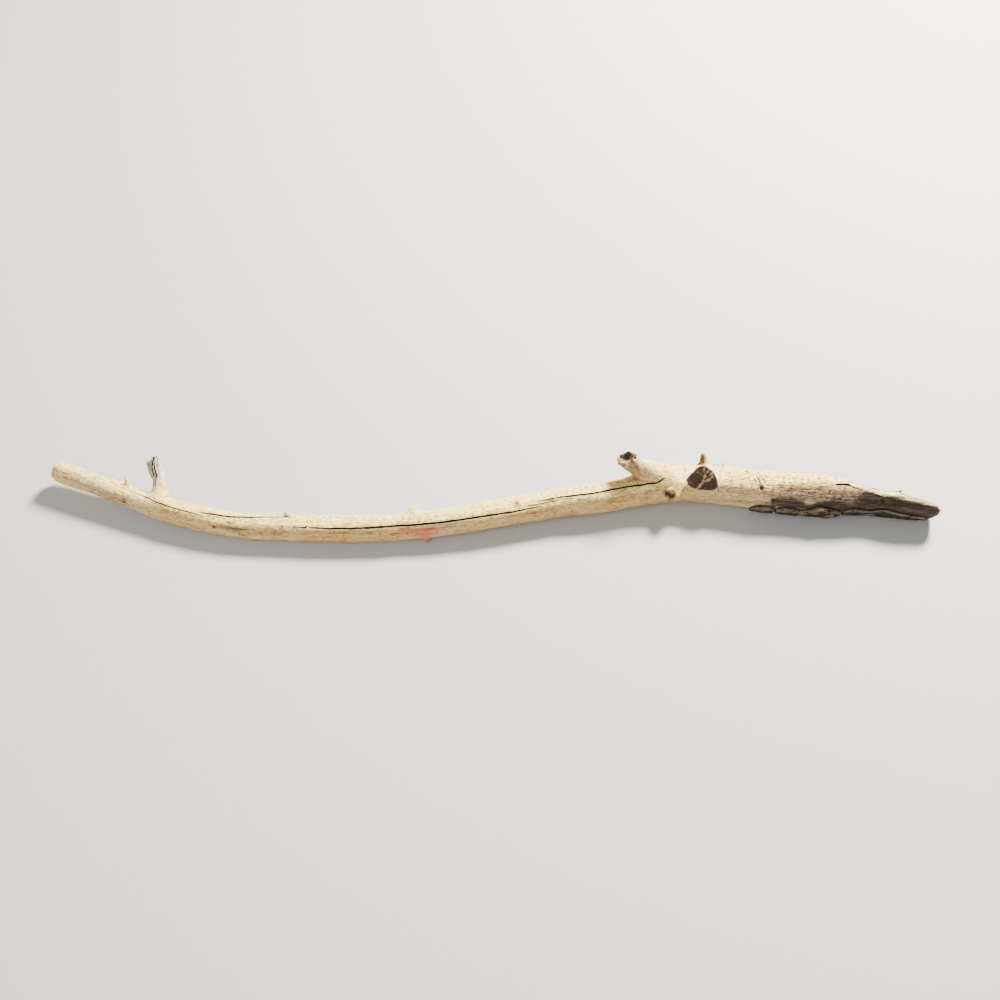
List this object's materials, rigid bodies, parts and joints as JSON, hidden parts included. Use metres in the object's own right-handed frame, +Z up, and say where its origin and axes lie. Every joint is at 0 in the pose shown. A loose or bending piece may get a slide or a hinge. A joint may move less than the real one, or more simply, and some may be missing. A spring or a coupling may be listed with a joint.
{
  "type": "driftwood branch",
  "caption": "Long weathered driftwood limb lying on the ground, gently curved, with broken and sawn branch stubs, drying cracks and a splintered thick end.",
  "frame": {"origin": "middle of the limb's bounding box, on the ground", "axes": "+X towards the thick end, +Z up; the side with the long crack faces -Y"},
  "size_m": [1.6024, 0.1607, 0.1067],
  "materials": {
    "pale_wood": "dry weathered wood, cream and tan",
    "brown_wood": "dry weathered wood, tan to dark brown",
    "grey_wood": "dry fibrous grey wood",
    "cut_wood": "old dark sawn end grain",
    "bark": "dark loose bark"
  },
  "bodies": {
    "root": {"limb": "pale_wood", "butt": "brown_wood", "snag": "grey_wood", "fork_stub": "pale_wood", "front_stub": "pale_wood", "sawn_stub": "cut_wood", "back_peg": "brown_wood", "bark_sliver": "bark", "bark_plate": "bark", "bark_tip": "bark"}
  },
  "joints": []
}
